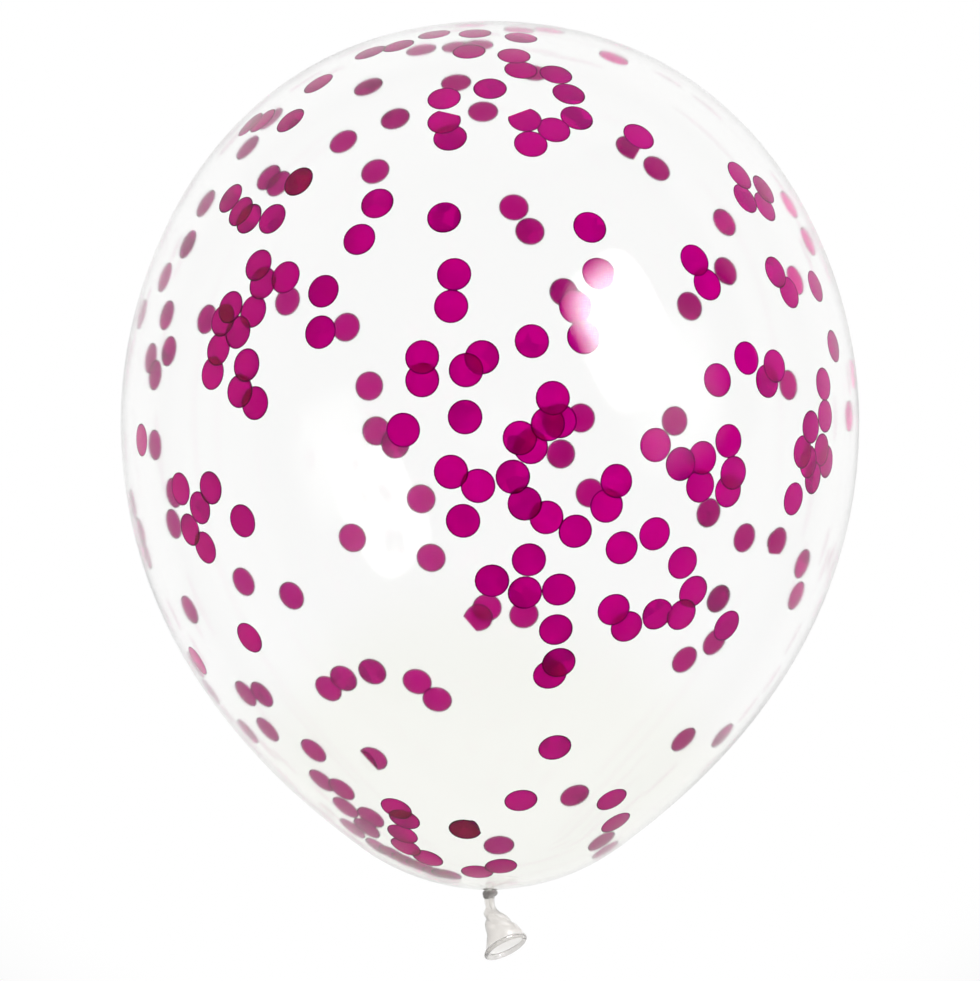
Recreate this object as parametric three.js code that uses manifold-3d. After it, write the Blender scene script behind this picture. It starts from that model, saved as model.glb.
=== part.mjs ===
// A confetti balloon: a clear latex balloon, blown up and knotted, lying on its side.
// Millimetres, +Z up. The balloon's length runs along Y, with the crown at +Y and the knot at -Y.
// The origin is on the surface that the balloon lies on, straight under its widest circle.
import * as THREE from 'three';
import { mergeVertices } from 'three/addons/utils/BufferGeometryUtils.js';
import Module from 'manifold-3d';

const wasm = await Module();
wasm.setup();

// The blown-up bulb, measured from its widest circle.
const BULB_DIAMETER = 230;
const CROWN_LENGTH = 124.5;
const BASE_LENGTH = 145.8;
// The blunt round cap at the knot end, and the angle at which the straighter flank leaves it.
const BASE_CAP_RADIUS = 68.3;
const BASE_CAP_ANGLE = THREE.MathUtils.degToRad(36.8);
// How far the bulb keeps its girth and its fullness, as shares of each curve's own height or width.
const CROWN_GIRTH_SHARE = 0.4045;
const CROWN_FULLNESS_SHARE = 0.7233;
const FLANK_GIRTH_SHARE = 0.5108;
const FLANK_RUNOUT_SHARE = 0.1791;
// The film gives this much where the balloon lies, which leaves a small flat spot.
const REST_FLATTENING = 0.6;

// The gathered neck and the knot pulled tight round it.
const NECK_DIAMETER = 3.2;
const NECK_FILLET = 1;
const KNOT_WIDTH = 4.7;
const KNOT_THICKNESS = 2.4;
const KNOT_GAP = 0.4;
const KNOT_TILT = THREE.MathUtils.degToRad(12);

// The tail past the knot: the way from the knot's centre to the middle of the mouth, and its wall.
const TAIL_DROP = 16.2;
const TAIL_LEAN = 4.8;
const TAIL_LIFT = 2.2;
const TAIL_WALL = 0.5;
// The tail leaves the knot a little aside from -Y and comes down straight to the mouth. The reaches
// are the lengths of the two curve handles, as shares of the drop.
const TAIL_START_ASIDE = THREE.MathUtils.degToRad(-14);
const TAIL_START_REACH = 0.36;
const TAIL_END_REACH = 0.46;
// The twisted shoulder where the tail opens out, and how far along the tail each form comes.
const SHOULDER_DIAMETER = 7;
const THROAT_SHARE = 0.22;
const SHOULDER_SHARE = 0.4;
const HOLLOW_SHARE = 0.42;
// The rolled lip round the mouth, and the way that the mouth faces: aside from -Y, and upwards.
const LIP_DIAMETER = 14.6;
const LIP_ROLL = 1.6;
const MOUTH_ASIDE = THREE.MathUtils.degToRad(28);
const MOUTH_UPWARDS = THREE.MathUtils.degToRad(24);

const BULB_SEGMENTS = 64;
const TAIL_SEGMENTS = 28;

const bulbRadius = BULB_DIAMETER / 2;
const neckRadius = NECK_DIAMETER / 2;
const axisHeight = bulbRadius - REST_FLATTENING;
const knotCentre = new THREE.Vector3(0, -(BASE_LENGTH + KNOT_GAP + KNOT_THICKNESS / 2), axisHeight);

// A closed mesh as a solid for cutting and joining.
function toSolid(geometry) {
  geometry.deleteAttribute('normal');
  geometry.deleteAttribute('uv');
  const merged = mergeVertices(geometry, 1e-4);
  return new wasm.Manifold(new wasm.Mesh({
    numProp: 3,
    vertProperties: new Float32Array(merged.attributes.position.array),
    triVerts: new Uint32Array(merged.index.array),
  }));
}

function toGeometry(solid) {
  const mesh = solid.getMesh();
  const geometry = new THREE.BufferGeometry();
  geometry.setAttribute('position', new THREE.BufferAttribute(mesh.vertProperties, 3));
  geometry.setIndex(new THREE.BufferAttribute(mesh.triVerts, 1));
  geometry.computeVertexNormals();
  return geometry;
}

// Points on a circle in the profile plane, from one angle to another, measured from the +X side.
function arc(centreX, centreY, radius, from, to, steps) {
  return Array.from({ length: steps + 1 }, (_, i) => {
    const angle = THREE.MathUtils.lerp(from, to, i / steps);
    return new THREE.Vector2(centreX + radius * Math.cos(angle), centreY + radius * Math.sin(angle));
  });
}

// The bulb's girth along its length: a full crown, a long tapering flank, and a blunt round cap
// that runs into the gathered neck by a small fillet.
function bulbProfile() {
  const crown = new THREE.CubicBezierCurve(
    new THREE.Vector2(0, CROWN_LENGTH),
    new THREE.Vector2(CROWN_FULLNESS_SHARE * bulbRadius, CROWN_LENGTH),
    new THREE.Vector2(bulbRadius, CROWN_GIRTH_SHARE * CROWN_LENGTH),
    new THREE.Vector2(bulbRadius, 0),
  );
  const capCentreY = BASE_CAP_RADIUS - BASE_LENGTH;
  const capStart = new THREE.Vector2(
    BASE_CAP_RADIUS * Math.sin(BASE_CAP_ANGLE),
    capCentreY - BASE_CAP_RADIUS * Math.cos(BASE_CAP_ANGLE),
  );
  const runOut = FLANK_RUNOUT_SHARE * BASE_LENGTH;
  const flank = new THREE.CubicBezierCurve(
    new THREE.Vector2(bulbRadius, 0),
    new THREE.Vector2(bulbRadius, -FLANK_GIRTH_SHARE * BASE_LENGTH),
    new THREE.Vector2(
      capStart.x + runOut * Math.cos(BASE_CAP_ANGLE),
      capStart.y + runOut * Math.sin(BASE_CAP_ANGLE),
    ),
    capStart,
  );
  const filletX = neckRadius + NECK_FILLET;
  const filletReach = BASE_CAP_RADIUS + NECK_FILLET;
  const filletY = capCentreY - Math.sqrt(filletReach ** 2 - filletX ** 2);
  const filletAngle = Math.asin(filletX / filletReach);
  return [
    ...crown.getPoints(18),
    ...flank.getPoints(16).slice(1),
    ...arc(0, capCentreY, BASE_CAP_RADIUS, BASE_CAP_ANGLE - Math.PI / 2, filletAngle - Math.PI / 2, 8).slice(1),
    ...arc(filletX, filletY, NECK_FILLET, filletAngle + Math.PI / 2, Math.PI, 3).slice(1),
    new THREE.Vector2(neckRadius, knotCentre.y),
    new THREE.Vector2(0, knotCentre.y),
  ];
}

// Latex swollen into the bulb, solid here, with the neck running into the knot.
function bulbSolid() {
  const bulb = new THREE.LatheGeometry(bulbProfile().reverse(), BULB_SEGMENTS);
  bulb.translate(0, 0, axisHeight);
  return toSolid(bulb);
}

// One turn of the gathered neck, pulled tight: a round-edged bead.
function knotSolid() {
  const edge = KNOT_THICKNESS / 2;
  const bead = new THREE.LatheGeometry([
    new THREE.Vector2(0, -edge),
    ...arc(KNOT_WIDTH / 2 - edge, 0, edge, -Math.PI / 2, Math.PI / 2, 8),
    new THREE.Vector2(0, edge),
  ], TAIL_SEGMENTS);
  bead.rotateZ(KNOT_TILT);
  bead.translate(knotCentre.x, knotCentre.y, knotCentre.z);
  return toSolid(bead);
}

// A direction down the tail, turned aside from -Y towards +X and then upwards.
function tailDirection(aside, upwards) {
  return new THREE.Vector3(
    Math.sin(aside) * Math.cos(upwards),
    -Math.cos(aside) * Math.cos(upwards),
    Math.sin(upwards),
  );
}

const tailStart = tailDirection(TAIL_START_ASIDE, 0);
const mouthDirection = tailDirection(MOUTH_ASIDE, MOUTH_UPWARDS);
const mouthCentre = knotCentre.clone().add(new THREE.Vector3(TAIL_LEAN, -TAIL_DROP, TAIL_LIFT));

// The line down the middle of the tail, out of the knot and over to the mouth.
const tailLine = new THREE.CubicBezierCurve3(
  knotCentre,
  knotCentre.clone().addScaledVector(tailStart, TAIL_START_REACH * TAIL_DROP),
  mouthCentre.clone().add(new THREE.Vector3(0, TAIL_END_REACH * TAIL_DROP, 0)),
  mouthCentre,
);
const tailLength = tailLine.getLength();

// The tail straightened out: radius against distance from the knot, outside, round the lip, inside.
function tailProfile() {
  const rollRadius = LIP_ROLL / 2;
  const mouthRadius = LIP_DIAMETER / 2 - rollRadius;
  const girth = new THREE.SplineCurve([
    new THREE.Vector2(neckRadius, 0),
    new THREE.Vector2(neckRadius, THROAT_SHARE * tailLength),
    new THREE.Vector2(SHOULDER_DIAMETER / 2, SHOULDER_SHARE * tailLength),
    new THREE.Vector2(mouthRadius + TAIL_WALL / 2, tailLength - rollRadius),
  ]);
  const outside = girth.getPoints(14).slice(0, -1);
  const inside = outside
    .filter((point) => point.y > HOLLOW_SHARE * tailLength)
    .map((point) => new THREE.Vector2(point.x - TAIL_WALL, point.y))
    .reverse();
  const leave = Math.acos(TAIL_WALL / LIP_ROLL);
  return [
    new THREE.Vector2(0, 0),
    ...outside,
    ...arc(mouthRadius, tailLength, rollRadius, -leave, Math.PI + leave, 12),
    ...inside,
    new THREE.Vector2(0, inside.at(-1).y),
  ];
}

// A straight lathe bent along the tail's line. Each ring keeps its radius, and the rings turn evenly
// from the way out of the knot to the way that the mouth faces.
function tailSolid() {
  const tail = new THREE.LatheGeometry(tailProfile(), TAIL_SEGMENTS);
  const position = tail.attributes.position;
  const up = new THREE.Vector3(0, 0, 1);
  for (let i = 0; i < position.count; i += 1) {
    const along = position.getY(i);
    const share = Math.min(along / tailLength, 1);
    const forward = tailStart.clone().lerp(mouthDirection, share).normalize();
    const across = new THREE.Vector3().crossVectors(up, forward).normalize();
    const over = new THREE.Vector3().crossVectors(across, forward);
    const point = tailLine.getPointAt(share)
      .addScaledVector(forward, along - share * tailLength)
      .addScaledVector(across, position.getX(i))
      .addScaledVector(over, position.getZ(i));
    position.setXYZ(i, point.x, point.y, point.z);
  }
  return toSolid(tail);
}

// Everything under the surface that the balloon lies on.
function groundSolid() {
  const length = BASE_LENGTH + CROWN_LENGTH;
  const ground = new THREE.BoxGeometry(BULB_DIAMETER, length, BULB_DIAMETER);
  ground.translate(0, (CROWN_LENGTH - BASE_LENGTH) / 2, -BULB_DIAMETER / 2);
  return toSolid(ground);
}

const latex = new THREE.MeshStandardMaterial({
  color: 0xe9e9e4,
  roughness: 0.2,
  metalness: 0,
  transparent: true,
  opacity: 0.4,
});

const envelope = new THREE.Mesh(
  toGeometry(bulbSolid().add(knotSolid()).add(tailSolid()).subtract(groundSolid())),
  latex,
);
envelope.name = 'latex_envelope';

const balloon = new THREE.Group();
balloon.add(envelope);

export default balloon;
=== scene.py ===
"""Confetti balloon: a clear latex balloon with magenta discs inside, lying on its side.

Metres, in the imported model's frame: +Y from the knot to the crown, +Z up, the floor at z = 0.
"""
import math
import random

import bpy
from mathutils import Matrix, Vector
from mathutils.geometry import interpolate_bezier


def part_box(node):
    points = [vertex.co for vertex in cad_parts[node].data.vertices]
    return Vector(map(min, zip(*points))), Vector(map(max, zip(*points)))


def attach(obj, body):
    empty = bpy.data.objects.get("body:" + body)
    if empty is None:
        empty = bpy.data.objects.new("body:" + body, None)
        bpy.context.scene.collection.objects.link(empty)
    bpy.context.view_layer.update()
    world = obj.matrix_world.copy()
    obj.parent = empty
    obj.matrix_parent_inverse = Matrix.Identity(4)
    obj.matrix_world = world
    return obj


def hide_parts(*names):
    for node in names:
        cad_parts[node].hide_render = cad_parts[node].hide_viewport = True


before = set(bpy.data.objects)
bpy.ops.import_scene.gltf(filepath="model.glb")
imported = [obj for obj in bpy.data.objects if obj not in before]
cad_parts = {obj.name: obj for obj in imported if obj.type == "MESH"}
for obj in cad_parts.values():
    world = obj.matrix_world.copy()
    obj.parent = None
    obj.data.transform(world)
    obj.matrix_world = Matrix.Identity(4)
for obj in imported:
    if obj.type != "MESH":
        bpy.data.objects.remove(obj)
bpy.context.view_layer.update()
MM = 0.001


# The camera looks straight down on the lying balloon, as the photo looks at it from the front.
# The nearest discs look 1.19 times as wide as the farthest, which gives the distance.
PHOTO_WIDTH = 980
PHOTO_HEIGHT = 981
PIXEL = 0.3124 * MM
PHOTO_WIDEST = Vector((490, 422))
CAMERA_REACH = 1322 * MM

low, high = (Vector(corner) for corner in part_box("latex_envelope"))
bulb_radius = (high.x - low.x) / 2
crown_length = high.y
axis_height = high.z - bulb_radius
photo_centre = Vector((PHOTO_WIDTH / 2, PHOTO_HEIGHT / 2))
camera_place = Vector((
    (photo_centre.x - PHOTO_WIDEST.x) * PIXEL,
    (PHOTO_WIDEST.y - photo_centre.y) * PIXEL,
    axis_height + CAMERA_REACH,
))
bpy.ops.object.camera_add(location=camera_place, rotation=(0, 0, 0))
camera = bpy.context.object
camera.data.sensor_fit = "HORIZONTAL"
camera.data.lens = camera.data.sensor_width * CAMERA_REACH / (PHOTO_WIDTH * PIXEL)
bpy.context.scene.camera = camera


# A plain pale floor that glows white and soft under the balloon, so that the film and the discs are
# lit through as well as from above. It isn't part of the object.
FLOOR_SIDE = 20.0
WHITE = (1, 1, 1, 1)
PALE = (0.6, 0.6, 0.6, 1)
BLACK = (0, 0, 0, 1)
TABLE_MIDDLE = Vector((0, 60 * MM, 0))
TABLE_RADIUS = 265 * MM
TABLE_FADES_OUT = 460 * MM


class Wire:
    """The output of a node. Sums on it add Math nodes."""

    def __init__(self, finish, socket):
        self.finish = finish
        self.socket = socket

    def sum(self, operation, first, second):
        return self.finish.node("ShaderNodeMath", {"operation": operation}, {0: first, 1: second})

    def __add__(self, other):
        return self.sum("ADD", self, other)

    def __sub__(self, other):
        return self.sum("SUBTRACT", self, other)

    def __rsub__(self, other):
        return self.sum("SUBTRACT", other, self)

    def __mul__(self, other):
        return self.sum("MULTIPLY", self, other)

    def __pow__(self, other):
        return self.sum("POWER", self, other)

    __radd__ = __add__
    __rmul__ = __mul__


class Finish:
    """The nodes of one material, or of the studio's surroundings."""

    def __init__(self, name, owner=None):
        self.owner = owner or bpy.data.materials.new(name)
        self.owner.use_nodes = True
        self.tree = self.owner.node_tree
        self.tree.nodes.clear()

    def node(self, kind, settings=None, sockets=None, output=0):
        made = self.tree.nodes.new(kind)
        for key, value in (settings or {}).items():
            if key == "stops":
                for stop, (place, colour) in zip(self.stops(made, len(value)), value):
                    stop.position = place
                    stop.color = colour
            else:
                setattr(made, key, value)
        for key, value in (sockets or {}).items():
            if isinstance(value, Wire):
                self.tree.links.new(value.socket, made.inputs[key])
            else:
                made.inputs[key].default_value = value
        return Wire(self, made.outputs[output]) if made.outputs else made

    @staticmethod
    def stops(ramp, count):
        elements = ramp.color_ramp.elements
        while len(elements) < count:
            elements.new(0.5)
        return elements

    def mix(self, share, first, second):
        """A blend of two colours, by the numbers of the Mix node's colour sockets."""
        return self.node("ShaderNodeMix", {"data_type": "RGBA"}, {0: share, 6: first, 7: second}, 2)

    def surface(self, shader):
        self.node("ShaderNodeOutputMaterial", sockets={"Surface": shader})
        return self.owner


bpy.ops.mesh.primitive_plane_add(size=FLOOR_SIDE)
floor = bpy.context.object
floor.name = "floor"
table = Finish("light_table")
away = table.node("ShaderNodeVectorMath", {"operation": "DISTANCE"}, {
    0: table.node("ShaderNodeTexCoord", output="Object"),
    1: TABLE_MIDDLE,
}, "Value")
fading = table.node("ShaderNodeMapRange", {"interpolation_type": "SMOOTHSTEP"}, {
    "Value": away,
    "From Min": TABLE_RADIUS,
    "From Max": TABLE_FADES_OUT,
})
floor.data.materials.append(table.surface(table.node("ShaderNodeBsdfPrincipled", sockets={
    "Base Color": BLACK,
    "Specular IOR Level": 0.0,
    "Emission Color": table.mix(fading, WHITE, PALE),
    "Emission Strength": 1.0,
})))


# Soft studio light: a pale surround that runs on from the floor and is dark only overhead, and one
# large soft box at the upper right. It shows twice on the film, on the near wall and turned over on
# the far one.
HORIZON_HEIGHT = 0.12
DUSK_HEIGHT = 0.4
DUSK = (0.12, 0.12, 0.12, 1)
DARK_HEIGHT = 0.7

studio = Finish("studio", bpy.data.worlds.new("studio"))
bpy.context.scene.world = studio.owner
up = studio.node("ShaderNodeSeparateXYZ", sockets={
    0: studio.node("ShaderNodeTexCoord", output="Generated"),
}, output="Z")
surround = studio.node("ShaderNodeValToRGB", {"stops": [
    (0.0, PALE),
    (HORIZON_HEIGHT, PALE),
    (DUSK_HEIGHT, DUSK),
    (DARK_HEIGHT, BLACK),
]}, {0: up})
studio.node("ShaderNodeOutputWorld", sockets={
    "Surface": studio.node("ShaderNodeBackground", sockets={"Color": surround, "Strength": 1.0}),
})

BOX_PLACE = Vector((524 * MM, 321 * MM, axis_height + 557 * MM))
BOX_SIZE = 1300 * MM
HOT_MIDDLE = Vector((20 * MM, 50 * MM, 0))
HOT_REACH = Vector((270 * MM, 212 * MM, BOX_SIZE))
HOT_GLOW = 200.0
HOT_EDGE = 0.25
WIDE_MIDDLE = Vector((310 * MM, -70 * MM, 0))
WIDE_REACH = Vector((340 * MM, 340 * MM, BOX_SIZE))
WIDE_GLOW = 4.8
WIDE_EDGE = 0.2
SQUARENESS = 4

box_aim = (Vector((0, 0, axis_height)) - BOX_PLACE).to_track_quat("Z", "Y")
bpy.ops.mesh.primitive_plane_add(size=BOX_SIZE, location=BOX_PLACE, rotation=box_aim.to_euler())
soft_box = bpy.context.object
soft_box.name = "soft_box"
soft_box.visible_camera = False
cloth = Finish("soft_box_cloth")
on_cloth = cloth.node("ShaderNodeTexCoord", output="Object")


def glow(middle, reach, strength, edge):
    """A soft square patch of light on the soft box's cloth, full up to a share of its reach."""
    beside = cloth.node("ShaderNodeVectorMath", {"operation": "SUBTRACT"}, {0: on_cloth, 1: middle})
    scaled = cloth.node("ShaderNodeVectorMath", {"operation": "DIVIDE"}, {0: beside, 1: reach})
    across, along = (
        cloth.node("ShaderNodeSeparateXYZ", sockets={0: scaled}, output=side) for side in "XY"
    )
    return cloth.node("ShaderNodeMapRange", {"interpolation_type": "SMOOTHSTEP"}, {
        "Value": (across ** SQUARENESS + along ** SQUARENESS) ** (1 / SQUARENESS),
        "From Min": edge,
        "From Max": 1.0,
        "To Min": strength,
        "To Max": 0.0,
    })


front = 1 - cloth.node("ShaderNodeNewGeometry", output="Backfacing")
hot = glow(HOT_MIDDLE, HOT_REACH, HOT_GLOW, HOT_EDGE)
wide = glow(WIDE_MIDDLE, WIDE_REACH, WIDE_GLOW, WIDE_EDGE)
soft_box.data.materials.append(cloth.surface(cloth.node("ShaderNodeEmission", sockets={
    "Color": WHITE,
    "Strength": (hot + wide) * front,
})))

# Light passes several walls of film, and often discs too, before it reaches the camera.
scene = bpy.context.scene
scene.view_settings.view_transform = "Standard"
scene.cycles.max_bounces = 10
scene.cycles.transparent_max_bounces = 24
scene.cycles.diffuse_bounces = 4


# The balloon's skin: one dipped piece of clear latex, blown up into the bulb, gathered into the neck
# and pulled into a knot, with a twisted tail that ends in a rolled lip. The bulb is a spun outline.
BASE_LENGTH = 145.8 * MM
BASE_CAP_RADIUS = 68.3 * MM
BASE_CAP_ANGLE = math.radians(36.8)
CROWN_GIRTH_SHARE = 0.4045
CROWN_FULLNESS_SHARE = 0.7233
FLANK_GIRTH_SHARE = 0.5108
FLANK_RUNOUT_SHARE = 0.1791
NECK_RADIUS = 1.6 * MM
NECK_FILLET = 1.0 * MM
KNOT_THICKNESS = 2.4 * MM
KNOT_GAP = 0.4 * MM
FILM_THICKNESS = 0.12 * MM
BULB_STEPS = 144
CURVE_STEPS = 28
WELD = 0.002 * MM
PLEATS = 12
PLEAT_DEPTH = 0.25 * MM
PLEATS_START = 14 * MM
PLEAT_SWAYS = 2

axis = Vector((0, 0, axis_height))
knot_centre = axis + Vector((0, -(BASE_LENGTH + KNOT_GAP + KNOT_THICKNESS / 2), 0))
cap_centre_y = BASE_CAP_RADIUS - BASE_LENGTH


def cap_point(angle):
    """A point on the round base cap, and the way that the outline runs there towards the neck."""
    place = Vector((
        BASE_CAP_RADIUS * math.sin(angle),
        cap_centre_y - BASE_CAP_RADIUS * math.cos(angle),
        0,
    ))
    return place, Vector((-math.cos(angle), -math.sin(angle), 0))


def arc_handle(radius, angle):
    """How long a curve's handle is when it follows an arc."""
    return 4 / 3 * math.tan(angle / 4) * radius


fillet_x = NECK_RADIUS + NECK_FILLET
fillet_reach = BASE_CAP_RADIUS + NECK_FILLET
fillet_y = cap_centre_y - math.sqrt(fillet_reach ** 2 - fillet_x ** 2)
fillet_angle = math.asin(fillet_x / fillet_reach)
cap_start, cap_start_way = cap_point(BASE_CAP_ANGLE)
cap_end, cap_end_way = cap_point(fillet_angle)
cap_handle = arc_handle(BASE_CAP_RADIUS, BASE_CAP_ANGLE - fillet_angle)
fillet_handle = arc_handle(NECK_FILLET, math.pi / 2 - fillet_angle)
neck_top = Vector((NECK_RADIUS, fillet_y, 0))
neck_end = Vector((NECK_RADIUS, knot_centre.y, 0))
crown_pole = Vector((0, crown_length, 0))
widest = Vector((bulb_radius, 0, 0))
sideways = Vector((1, 0, 0))
downwards = Vector((0, -1, 0))

# The bulb's outline from crown to neck, each point with the handle before it and the one after.
outline = [
    (
        crown_pole,
        crown_pole - sideways * bulb_radius,
        crown_pole + sideways * CROWN_FULLNESS_SHARE * bulb_radius,
    ),
    (
        widest,
        widest - downwards * CROWN_GIRTH_SHARE * crown_length,
        widest + downwards * FLANK_GIRTH_SHARE * BASE_LENGTH,
    ),
    (
        cap_start,
        cap_start - cap_start_way * FLANK_RUNOUT_SHARE * BASE_LENGTH,
        cap_start + cap_start_way * cap_handle,
    ),
    (cap_end, cap_end - cap_end_way * cap_handle, cap_end + cap_end_way * fillet_handle),
    (neck_top, neck_top - downwards * fillet_handle, neck_top + downwards * KNOT_GAP),
    (neck_end, neck_end - downwards * KNOT_GAP, neck_end),
]


def deselect_all():
    if bpy.context.object and bpy.context.object.mode != "OBJECT":
        bpy.ops.object.mode_set(mode="OBJECT")
    bpy.ops.object.select_all(action="DESELECT")


def spin_outline(name, points, steps, curve_steps=1):
    """Spins an outline round the bulb's axis. It holds points with their handles, or bare corners."""
    deselect_all()
    bpy.ops.curve.primitive_bezier_curve_add()
    spun = bpy.context.object
    spun.name = name
    spline = spun.data.splines[0]
    spline.resolution_u = curve_steps
    spline.bezier_points.add(len(points) - 2)
    for point, drawn in zip(spline.bezier_points, points):
        place, before, after = drawn if isinstance(drawn, tuple) else (drawn, drawn, drawn)
        point.handle_left_type = "FREE"
        point.handle_right_type = "FREE"
        point.co = place
        point.handle_left = before
        point.handle_right = after
    spun.location = axis
    spun.rotation_euler = (0, 0, 0)
    bpy.ops.object.transform_apply(location=True, rotation=True, scale=True)
    bpy.ops.object.convert(target="MESH")
    bpy.ops.object.mode_set(mode="EDIT")
    bpy.ops.mesh.select_all(action="SELECT")
    bpy.ops.mesh.spin(steps=steps, angle=2 * math.pi, center=axis, axis=(0, 1, 0))
    bpy.ops.mesh.select_all(action="SELECT")
    bpy.ops.mesh.remove_doubles(threshold=WELD)
    bpy.ops.mesh.normals_make_consistent(inside=False)
    bpy.ops.object.mode_set(mode="OBJECT")
    bpy.ops.object.shade_smooth()
    return spun


skin = spin_outline("latex_skin", outline, BULB_STEPS, CURVE_STEPS)


def smooth_step(low_end, high_end, value):
    share = min(max((value - low_end) / (high_end - low_end), 0), 1)
    return share * share * (3 - 2 * share)


# Small pleats run out of the gathered neck and fade into the base.
for vertex in skin.data.vertices:
    if vertex.co.y < 0:
        radius = math.hypot(vertex.co.x, vertex.co.z - axis_height)
        around = math.atan2(vertex.co.z - axis_height, vertex.co.x)
        gathered_share = 1 - smooth_step(NECK_RADIUS, PLEATS_START, radius)
        pleat = math.cos(PLEATS * around + math.sin(PLEAT_SWAYS * around))
        vertex.co.y += PLEAT_DEPTH * gathered_share ** 2 * pleat

# The film gives a little where the balloon lies, down to the floor.
for vertex in skin.data.vertices:
    vertex.co.z = max(vertex.co.z, 0.0)

# The stretched film is clear, a little greener and denser towards the base, where it is stretched
# less. It is never quite even, which softens what shows in it.
CROWN_CLEAR = (0.985, 0.985, 0.982, 1)
BASE_TINT = (0.968, 0.97, 0.948, 1)
TINT_REACH = 108 * MM
TINT_FULL = 68 * MM
TINT_WANDER = 50 * MM
UNEVEN_BUMP = 0.4 * MM
latex = Finish("clear_latex")
on_film = latex.node("ShaderNodeTexCoord", output="Object")
unevenness = latex.node("ShaderNodeTexNoise", sockets={"Vector": on_film, "Scale": 14.0, "Detail": 1.0})
from_neck = latex.node("ShaderNodeVectorMath", {"operation": "DISTANCE"}, {
    0: latex.node("ShaderNodeVectorMath", {"operation": "MULTIPLY"}, {0: on_film, 1: (1, 1, 0)}),
    1: (0, -BASE_LENGTH, 0),
}, "Value")
less_stretched = latex.node("ShaderNodeMapRange", {"interpolation_type": "SMOOTHSTEP"}, {
    "Value": from_neck + unevenness * TINT_WANDER - TINT_WANDER / 2,
    "From Min": TINT_REACH,
    "From Max": TINT_FULL,
})
skin.data.materials.append(latex.surface(latex.node("ShaderNodeBsdfPrincipled", sockets={
    "Base Color": latex.mix(less_stretched, CROWN_CLEAR, BASE_TINT),
    "Roughness": 0.05,
    "IOR": 1.18,
    "Transmission Weight": 1.0,
    "Normal": latex.node("ShaderNodeBump", sockets={
        "Strength": 1.0,
        "Distance": UNEVEN_BUMP,
        "Height": unevenness,
    }),
})))


# The knot: one turn of the gathered neck pulled tight round itself, a creased bead that sits a
# little askew. From here on the film isn't stretched, so it is thicker, frosted and streaky.
KNOT_WIDTH = 4.7 * MM
KNOT_TILT = math.radians(12)
KNOT_EDGE_POINTS = 13
KNOT_CREASE = 0.12 * MM
KNOT_CREASES = 7
KNOT_CREASE_SLANT = 2.5
KNOT_UNEVENNESS = 0.22
STEPS_ROUND = 96


def arc_corners(centre, radius, first, last, count):
    """Corners along an arc of the outline, by angles from the outward side."""
    angles = [first + (last - first) * step / (count - 1) for step in range(count)]
    return [centre + Vector((math.cos(angle), math.sin(angle), 0)) * radius for angle in angles]


knot_edge = KNOT_THICKNESS / 2
knot = spin_outline("knot", [
    Vector((0, -knot_edge, 0)),
    *arc_corners(
        Vector((KNOT_WIDTH / 2 - knot_edge, 0, 0)),
        knot_edge, -math.pi / 2, math.pi / 2, KNOT_EDGE_POINTS,
    ),
    Vector((0, knot_edge, 0)),
], STEPS_ROUND)
knot_turn = Matrix.Rotation(KNOT_TILT, 3, "Z")
for vertex in knot.data.vertices:
    local = vertex.co - axis
    around = math.atan2(local.z, local.x)
    reach = math.hypot(local.x, local.z) / (KNOT_WIDTH / 2)
    crease = reach * KNOT_CREASE * math.cos(KNOT_CREASES * around + KNOT_CREASE_SLANT * local.y / knot_edge)
    local.y *= 1 - KNOT_UNEVENNESS * local.x / (KNOT_WIDTH / 2)
    local += Vector((math.cos(around), 0, math.sin(around))) * crease
    vertex.co = knot_turn @ local + knot_centre


def unstretched_latex(name, milky, clear, roughness, see_through):
    """Thick frosted film, with fine streaks from milky to clear."""
    thick = Finish(name)
    streaks = thick.node("ShaderNodeTexNoise", sockets={
        "Vector": thick.node("ShaderNodeTexCoord", output="Object"),
        "Scale": 500.0,
        "Detail": 2.0,
    })
    return thick.surface(thick.node("ShaderNodeBsdfPrincipled", sockets={
        "Base Color": thick.mix(streaks, milky, clear),
        "Roughness": roughness,
        "IOR": 1.24,
        "Transmission Weight": see_through,
    }))


knot.data.materials.append(unstretched_latex(
    "knot_latex",
    milky=(0.7, 0.66, 0.64, 1),
    clear=(0.88, 0.86, 0.84, 1),
    roughness=0.35,
    see_through=0.5,
))


# The tail past the knot: a hollow bell of film, twisted and folded near the knot, that opens out to
# the mouth with its rolled lip, where it is densest. It is spun straight, then bent to its line.
TAIL_DROP = 16.2 * MM
TAIL_LEAN = 4.8 * MM
TAIL_LIFT = 2.2 * MM
TAIL_WALL = 0.3 * MM
TAIL_START_ASIDE = math.radians(-14)
TAIL_START_REACH = 0.36
TAIL_END_REACH = 0.46
THROAT_SHARE = 0.22
SHOULDER_RADIUS = 3.5 * MM
SHOULDER_SHARE = 0.4
HOLLOW_SHARE = 0.03
LIP_DIAMETER = 14.6 * MM
LIP_ROLL_RADIUS = 0.8 * MM
MOUTH_ASIDE = math.radians(28)
MOUTH_UPWARDS = math.radians(24)
FOLD_DEPTH = 0.3
FOLD_COUNT = 3
FOLD_TWIST = math.radians(444)
FOLD_START = math.radians(-262)
STRAND_FLATNESS = 0.4
STRAND_GROOVE = math.radians(-68)
GROOVE_DEPTH = 0.5
STRAND_STARTS = (0.03, 0.1)
STRAND_ENDS = (0.24, 0.4)
FOLDS_START = (0.2, 0.36)
FOLDS_END = (0.45, 0.85)
THROAT_FULLNESS = 0.5
SHOULDER_FULLNESS = 0.6
RIM_FULLNESS = 1.2
HANDLES_IN_BELL = 6
TAIL_LINE_POINTS = 97
THROAT_STEPS = 8
SHOULDER_POINTS = 9
BELL_POINTS = 19
LIP_POINTS = 17
LIP_MARGIN = 1.02
ROLLED_SLOT = 1


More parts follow.
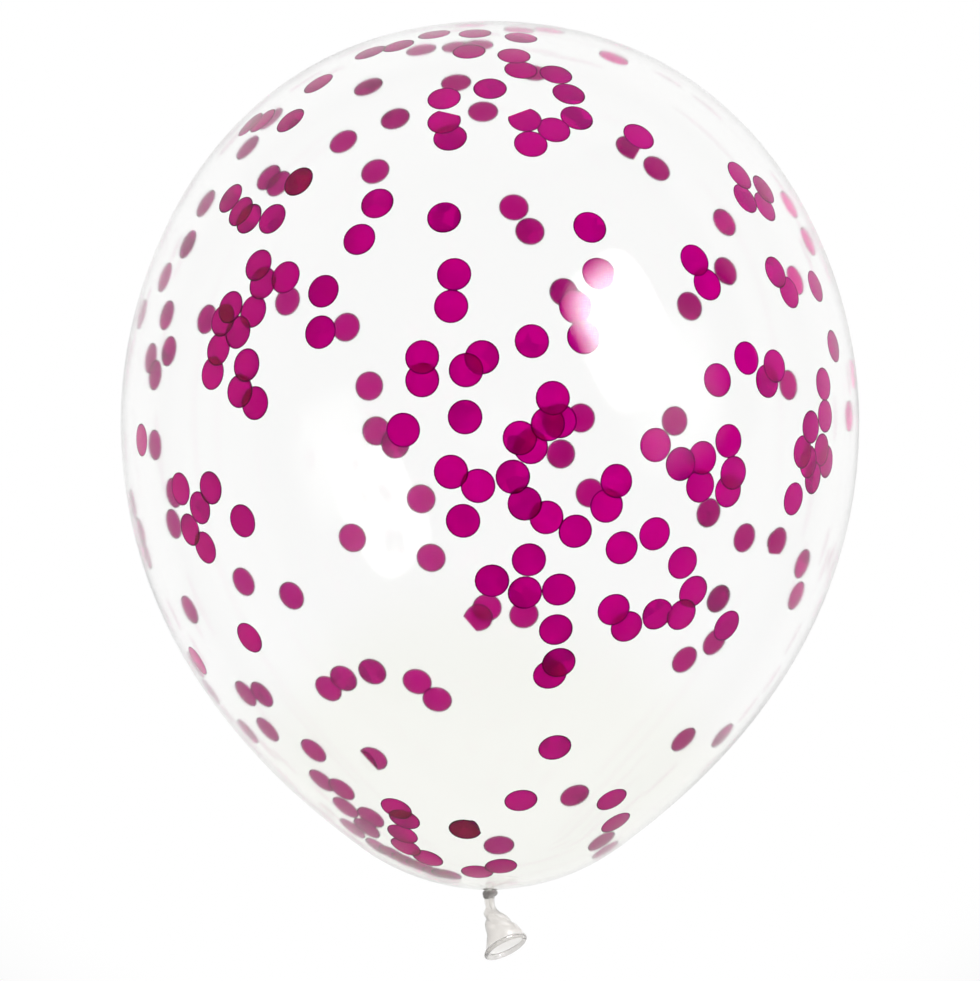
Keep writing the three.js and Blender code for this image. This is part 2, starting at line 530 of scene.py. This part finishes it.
def tail_direction(aside, upwards):
    return Vector((
        math.sin(aside) * math.cos(upwards),
        -math.cos(aside) * math.cos(upwards),
        math.sin(upwards),
    ))


tail_start = tail_direction(TAIL_START_ASIDE, 0)
mouth_direction = tail_direction(MOUTH_ASIDE, MOUTH_UPWARDS)
mouth_centre = knot_centre + Vector((TAIL_LEAN, -TAIL_DROP, TAIL_LIFT))
tail_line = interpolate_bezier(
    knot_centre,
    knot_centre + tail_start * TAIL_START_REACH * TAIL_DROP,
    mouth_centre + Vector((0, TAIL_END_REACH * TAIL_DROP, 0)),
    mouth_centre,
    TAIL_LINE_POINTS,
)
tail_lengths = [0.0]
for before, after in zip(tail_line, tail_line[1:]):
    tail_lengths.append(tail_lengths[-1] + (after - before).length)
tail_length = tail_lengths[-1]


def tail_place(share):
    """The point of the tail's middle line at a share of its length."""
    wanted = share * tail_length
    step = next(
        number for number, length in enumerate(tail_lengths)
        if length >= wanted or number == TAIL_LINE_POINTS - 1
    )
    if step == 0:
        return tail_line[0]
    part = (wanted - tail_lengths[step - 1]) / (tail_lengths[step] - tail_lengths[step - 1])
    return tail_line[step - 1].lerp(tail_line[step], part)


mouth_radius = LIP_DIAMETER / 2 - LIP_ROLL_RADIUS
throat = Vector((NECK_RADIUS, THROAT_SHARE * tail_length, 0))
shoulder = Vector((SHOULDER_RADIUS, SHOULDER_SHARE * tail_length, 0))
rim = Vector((mouth_radius + TAIL_WALL / 2, tail_length - LIP_ROLL_RADIUS, 0))
slope = (rim - throat) / HANDLES_IN_BELL
outside = [
    *[
        Vector((NECK_RADIUS, THROAT_SHARE * tail_length * step / THROAT_STEPS, 0))
        for step in range(THROAT_STEPS)
    ],
    *interpolate_bezier(
        throat,
        throat + Vector((0, slope.y * THROAT_FULLNESS, 0)),
        shoulder - slope * SHOULDER_FULLNESS,
        shoulder,
        SHOULDER_POINTS,
    )[:-1],
    *interpolate_bezier(
        shoulder, shoulder + slope, rim - slope * RIM_FULLNESS, rim, BELL_POINTS
    )[:-1],
]
inside = [
    Vector((point.x - TAIL_WALL, point.y, 0))
    for point in reversed(outside) if point.y > HOLLOW_SHARE * tail_length
]
leave = math.acos(TAIL_WALL / 2 / LIP_ROLL_RADIUS)
tail = spin_outline("tail", [
    Vector((0, 0, 0)),
    *outside,
    *arc_corners(
        Vector((mouth_radius, tail_length, 0)), LIP_ROLL_RADIUS, -leave, math.pi + leave, LIP_POINTS
    ),
    *inside,
    Vector((0, inside[-1].y, 0)),
], STEPS_ROUND)


def fold(share, around):
    """The share of a round bell's width that the twisted film has: a grooved strand, then creases."""
    strand = smooth_step(*STRAND_STARTS, share) * (1 - smooth_step(*STRAND_ENDS, share))
    groove = (1 - abs(math.sin(around - STRAND_GROOVE))) ** 2
    flat = 1 - strand * (STRAND_FLATNESS * math.sin(around) ** 2 + GROOVE_DEPTH * groove)
    turn = around - FOLD_START - FOLD_TWIST * share
    crease = 1 - abs(math.sin(FOLD_COUNT * turn / 2))
    depth = FOLD_DEPTH * smooth_step(*FOLDS_START, share) * (1 - smooth_step(*FOLDS_END, share))
    return flat * (1 - depth * crease)


rolled_faces = [
    face.index for face in tail.data.polygons
    if math.hypot(
        math.hypot(face.center.x, face.center.z - axis_height) - mouth_radius,
        face.center.y - tail_length,
    ) < LIP_ROLL_RADIUS * LIP_MARGIN
]
for vertex in tail.data.vertices:
    local = vertex.co - axis
    share = min(local.y / tail_length, 1)
    around = math.atan2(local.z, local.x)
    radius = math.hypot(local.x, local.z) * fold(share, around)
    forward = tail_start.lerp(mouth_direction, share).normalized()
    across = Vector((0, 0, 1)).cross(forward).normalized()
    over = across.cross(forward)
    vertex.co = (
        tail_place(share)
        + forward * (local.y - share * tail_length)
        + across * radius * math.cos(around)
        + over * radius * math.sin(around)
    )

tail.data.materials.append(unstretched_latex(
    "gathered_latex",
    milky=(0.82, 0.8, 0.775, 1),
    clear=(0.96, 0.945, 0.925, 1),
    roughness=0.28,
    see_through=0.98,
))
tail.data.materials.append(unstretched_latex(
    "rolled_latex",
    milky=(0.58, 0.56, 0.54, 1),
    clear=(0.8, 0.785, 0.77, 1),
    roughness=0.22,
    see_through=0.96,
))
for index in rolled_faces:
    tail.data.polygons[index].material_index = ROLLED_SLOT


# Confetti: thin glossy magenta discs, punched from film, that cling to the inner face of the latex.
# Each list is a cluster, by the places of its discs in the photo, on the near or the far wall.
DISC_RADIUS = 5.0 * MM
DISC_THICKNESS = 0.04 * MM
DISC_GAP = 0.06 * MM
DISC_SIDES = 24
HINGE_MARGIN = 0.01 * MM
FLAT_ANGLE = math.radians(5)

CONFETTI = {
    "crown": {
        "near": [
            (434, 34), (475, 33), (521, 37), (469, 51), (514, 55), (521, 69), (556, 74), (569, 93),
            (318, 83), (370, 52), (398, 45),
        ],
        "far": [
            (470, 24), (519, 29), (550, 29), (421, 49), (457, 46), (478, 44), (614, 57), (533, 72),
        ],
    },
    "upper_middle": {
        "near": [
            (444, 98), (444, 121), (450, 137), (490, 88), (525, 119), (554, 129), (577, 117), (531, 143),
            (444, 217), (377, 203), (359, 239), (454, 274), (451, 306), (590, 227), (599, 273),
            (576, 307), (584, 337), (532, 341),
        ],
        "far": [
            (456, 82), (483, 111), (368, 86), (395, 118), (343, 141), (375, 171), (514, 207), (530, 231),
            (564, 292),
        ],
    },
    "upper_right": {
        "near": [
            (639, 136), (740, 175), (746, 198), (764, 189), (766, 206), (695, 260), (708, 284),
            (776, 272), (790, 292), (816, 286), (834, 346),
        ],
        "far": [
            (630, 147), (657, 168), (725, 222), (726, 271), (690, 306), (790, 204), (811, 220),
            (809, 241), (796, 280), (854, 374),
        ],
    },
    "right": {
        "near": [
            (747, 358), (775, 366), (768, 381), (718, 380), (824, 384), (826, 416), (812, 427),
            (804, 452), (810, 462), (815, 478), (824, 450), (829, 462), (794, 499),
        ],
        "far": [(789, 385), (850, 416)],
    },
    "centre_right": {
        "near": [
            (553, 398), (548, 424), (560, 421), (520, 438), (531, 447), (513, 477), (525, 504),
            (547, 518), (576, 532), (617, 481), (607, 506), (622, 548), (655, 534), (683, 563),
            (656, 445), (681, 464), (703, 458), (701, 486), (729, 441), (734, 473), (729, 491),
        ],
        "far": [
            (581, 418), (561, 454), (590, 493), (675, 421), (709, 513), (745, 538), (778, 542),
            (803, 564), (797, 596),
        ],
    },
    "lower_right": {
        "near": [
            (529, 560), (492, 581), (525, 593), (559, 590), (556, 630), (559, 663), (550, 675),
            (555, 748), (614, 610), (627, 627), (658, 615), (682, 615), (694, 592), (727, 626),
        ],
        "far": [
            (524, 615), (487, 608), (478, 618), (719, 599), (715, 642), (685, 660), (684, 740),
            (723, 736),
        ],
    },
    "upper_left": {
        "near": [
            (250, 124), (262, 120), (290, 120), (298, 181), (230, 198), (240, 211), (248, 218),
            (271, 218), (298, 181), (258, 265), (285, 277), (262, 283), (323, 291), (320, 332), (230, 307),
            (222, 320), (237, 332), (252, 311), (217, 349), (211, 373), (246, 365), (239, 391),
            (254, 403), (422, 357), (422, 380), (466, 370), (482, 357),
        ],
        "far": [
            (270, 118), (247, 147), (268, 177), (278, 183), (205, 203), (187, 244), (164, 277),
            (166, 315), (141, 314), (287, 301), (346, 327), (206, 319), (150, 358), (168, 351),
            (154, 375), (369, 386),
        ],
    },
    "lower_left": {
        "near": [
            (180, 489), (210, 488), (199, 508), (189, 530), (204, 548), (242, 521), (249, 638),
            (197, 661), (141, 440),
        ],
        "far": [
            (154, 445), (173, 493), (173, 524), (243, 582), (291, 596), (189, 610), (132, 505),
            (140, 533), (145, 555), (195, 665), (210, 692), (245, 694), (261, 695), (247, 732),
            (267, 730), (313, 751), (373, 759), (328, 689), (343, 679), (372, 672), (417, 682),
            (437, 700),
        ],
    },
    "centre_left": {
        "near": [(403, 430), (465, 417), (451, 472), (478, 486), (463, 521)],
        "far": [(376, 431), (395, 444), (421, 499), (431, 558), (352, 538)],
    },
    "base": {
        "near": [
            (396, 809), (404, 820), (402, 835), (405, 848), (427, 860), (465, 830), (465, 830), (501, 867),
            (477, 873), (521, 801), (612, 800), (616, 823),
        ],
        "far": [
            (321, 781), (341, 790), (345, 808), (370, 818), (352, 829), (366, 829), (378, 848),
            (392, 855), (405, 862), (420, 868), (437, 875), (446, 877), (499, 846), (575, 796),
            (602, 842), (606, 851),
        ],
    },
}

# Discs that are bent: each fold by its direction in the photo, anticlockwise from the right in
# degrees, how far it is from the disc's middle as a share of the radius, and how far it is bent.
BENT = {
    (444, 121): [(75, 0.72, 70)],
    (525, 119): [(112, 0.64, 75)],
    (630, 147): [(-35, 0.6, 80)],
    (726, 271): [(225, 0.6, 80)],
    (478, 618): [(222, 0.72, 75), (140, 0.85, 60)],
    (778, 542): [(160, 0.72, 70), (265, 0.8, 70)],
    (373, 759): [(225, 0.45, 80)],
    (465, 830): [(40, 0.72, 75)],
    (599, 273): [(-75, 0.1, 7), (115, 0.35, 9)],
    (525, 593): [(60, 0.35, 8), (75, 0.7, -7)],
    (622, 548): [(62, 0.62, 9)],
    (658, 615): [(-55, 0.2, 9), (125, 0.3, 10), (-55, 0.75, -8)],
    (617, 481): [(70, 0.1, 7), (20, 0.3, 6)],
}

# Each disc is turned on its middle by chance, the same way on every run.
random.seed(7)


def wall_points(pixel):
    """Where the line of sight through a pixel of the photo meets the near and the far wall."""
    offset = (Vector(pixel) - photo_centre) * PIXEL
    aim = Vector((camera_place.x + offset.x, camera_place.y - offset.y, axis_height)) - camera_place
    aim.normalize()
    found = []
    start = camera_place.copy()
    while len(found) < 2:
        met, place, normal, _ = skin.ray_cast(start, aim)
        if not met:
            break
        found.append((place, normal))
        start = place + aim * MM
    return found


def lay_disc(place, normal, depth, folds):
    """One disc pressed to the inner face of the skin, at a depth below it, and bent at its folds."""
    deselect_all()
    turn = normal.to_track_quat("Z", "Y").to_matrix().to_4x4()
    spin = Matrix.Rotation(random.uniform(0, 2 * math.pi), 4, "Z")
    bpy.ops.mesh.primitive_circle_add(
        vertices=DISC_SIDES, radius=DISC_RADIUS, fill_type="TRIFAN", calc_uvs=True
    )
    disc = bpy.context.object
    disc.data.transform(Matrix.Translation(place) @ turn @ spin)
    lines = []
    for aside, share, bend in folds:
        beside = Vector((math.cos(math.radians(aside)), math.sin(math.radians(aside)), 0))
        beside = (beside - normal * beside.dot(normal)).normalized()
        lines.append((place + beside * share * DISC_RADIUS, beside, math.radians(bend)))
        bpy.ops.object.mode_set(mode="EDIT")
        bpy.ops.mesh.select_all(action="SELECT")
        bpy.ops.mesh.bisect(plane_co=lines[-1][0], plane_no=beside)
        bpy.ops.object.mode_set(mode="OBJECT")
    wrap = disc.modifiers.new("cling", "SHRINKWRAP")
    wrap.target = skin
    wrap.wrap_method = "NEAREST_SURFACEPOINT"
    wrap.wrap_mode = "ABOVE_SURFACE"
    wrap.offset = -depth
    bpy.ops.object.modifier_apply(modifier="cling")
    for hinge, beside, bend in lines:
        hinge = hinge - normal * depth
        swing = Matrix.Rotation(bend, 3, normal.cross(beside))
        for vertex in disc.data.vertices:
            if (vertex.co - hinge).dot(beside) > HINGE_MARGIN:
                vertex.co = hinge + swing @ (vertex.co - hinge)
    return disc


# The painted shade along each disc's edge, by the distance from a disc's middle on its UV map, where a
# disc's radius is 0.5. The rest is how far the tone differs from disc to disc, and painted shade and light
# on the facets of some discs.
UV_MIDDLE = (0.5, 0.5, 0)
RIM_INNER = 0.44
RIM_OUTER = 0.485
RIM_DARKNESS = 0.6
TONE_SPREAD = 0.12
MOTTLE_SPREAD = 0.1
# Which discs get painted facet shade, and how strong it is.
FACET_SHADE_FROM = 0.72
FACET_SHADE_FULL = 0.8
FACET_SHADE_SPREAD = 0.35
FACET_MEAN = 0.4
PALER = 0.05
FOIL_ROUGHNESS = 0.35
LIGHT_THROUGH_FOIL = (0.74, 0.0, 0.45, 1)
# The dark foil that the mix adds holds the painted shade at edges and facets, and the tone that differs
# from disc to disc.
DARK_TONE_AND_SHADE = (0.03, 0.0, 0.015, 1)


def foil_finish(name, face_colour, gloss):
    """One face of the foil: it glows magenta with light from behind, has a thin dark edge of painted shade,
    and painted facet shade on some discs.
    """
    foil = Finish(name)
    on_disc = foil.node("ShaderNodeVectorMath", {"operation": "DISTANCE"}, {
        0: foil.node("ShaderNodeTexCoord", output="UV"),
        1: UV_MIDDLE,
    }, "Value")
    # Painted shade along each disc's edge.
    rim = foil.node("ShaderNodeMapRange", {"interpolation_type": "SMOOTHSTEP"}, {
        "Value": on_disc,
        "From Min": RIM_INNER,
        "From Max": RIM_OUTER,
        "To Max": RIM_DARKNESS,
    })
    mottle = foil.node("ShaderNodeTexNoise", sockets={
        "Vector": foil.node("ShaderNodeTexCoord", output="Object"),
        "Scale": 400.0,
        "Detail": 3.0,
    })
    own_tone = foil.node("ShaderNodeNewGeometry", output="Random Per Island")
    facet = foil.node("ShaderNodeSeparateXYZ", sockets={0: foil.node("ShaderNodeTexVoronoi", sockets={
        "Vector": foil.node("ShaderNodeTexCoord", output="Object"),
        "Scale": 240.0,
    }, output="Color")}, output="X")
    # Painted shade and light, cell by cell, on the facets of a few discs, in place of crumpled foil.
    facet_shaded = foil.node("ShaderNodeMapRange", sockets={
        "Value": own_tone,
        "From Min": FACET_SHADE_FROM,
        "From Max": FACET_SHADE_FULL,
    })
    painted_facet_shade = (facet - FACET_MEAN) * facet_shaded * FACET_SHADE_SPREAD
    coloured = foil.node("ShaderNodeAddShader", sockets={
        0: foil.node("ShaderNodeBsdfPrincipled", sockets={
            "Base Color": face_colour,
            "Roughness": FOIL_ROUGHNESS,
            "IOR": 1.4,
            "Specular IOR Level": gloss,
        }),
        1: foil.node("ShaderNodeBsdfTranslucent", sockets={"Color": LIGHT_THROUGH_FOIL}),
    })
    # Painted shade and the darker tone of some discs.
    dark = foil.node("ShaderNodeBsdfPrincipled", sockets={
        "Base Color": DARK_TONE_AND_SHADE,
        "Roughness": FOIL_ROUGHNESS,
        "Specular IOR Level": gloss,
    })
    return foil.surface(foil.node("ShaderNodeMixShader", sockets={
        0: rim + own_tone * TONE_SPREAD + mottle * MOTTLE_SPREAD + painted_facet_shade - PALER,
        1: coloured,
        2: dark,
    }))


# The face that clings to the film looks deep, and the free face is glossier and a little paler: that
# paleness is painted haze of scattered light over the far discs, which show this face.
clinging_face = foil_finish("confetti_clinging_face", face_colour=(0.03, 0.0, 0.026, 1), gloss=0.0)
free_face = foil_finish("confetti_free_face", face_colour=(0.045, 0.003, 0.035, 1), gloss=0.22)

for cluster, walls in CONFETTI.items():
    discs = []
    laid = []
    for wall, pixels in walls.items():
        for pixel in pixels:
            place, normal = wall_points(pixel)[0 if wall == "near" else -1]
            layer = 0
            for other, other_layer in laid:
                if (other - place).length < 2 * DISC_RADIUS:
                    layer = max(layer, other_layer + 1)
            laid.append((place, layer))
            depth = FILM_THICKNESS + DISC_GAP + layer * (DISC_THICKNESS + DISC_GAP)
            discs.append(lay_disc(place, normal, depth, BENT.get(pixel, [])))
    deselect_all()
    for disc in discs:
        disc.select_set(True)
    bpy.context.view_layer.objects.active = discs[0]
    bpy.ops.object.join()
    pile = bpy.context.object
    pile.name = "confetti_" + cluster
    pile.data.materials.clear()
    pile.data.materials.append(clinging_face)
    pile.data.materials.append(free_face)
    sheet = pile.modifiers.new("thickness", "SOLIDIFY")
    sheet.thickness = DISC_THICKNESS
    sheet.offset = 0
    sheet.material_offset = 1
    bpy.ops.object.modifier_apply(modifier="thickness")
    bpy.ops.object.shade_smooth_by_angle(angle=FLAT_ANGLE)
    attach(pile, "root")


# The skin gets its wall last, so that the discs could be laid against its outer face. The knot and
# the tail are the same piece of latex, so they are joined to it.
deselect_all()
skin.select_set(True)
bpy.context.view_layer.objects.active = skin
film_wall = skin.modifiers.new("wall", "SOLIDIFY")
film_wall.thickness = FILM_THICKNESS
film_wall.offset = -1
bpy.ops.object.modifier_apply(modifier="wall")
knot.select_set(True)
tail.select_set(True)
bpy.ops.object.join()
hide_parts("latex_envelope")
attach(skin, "root")
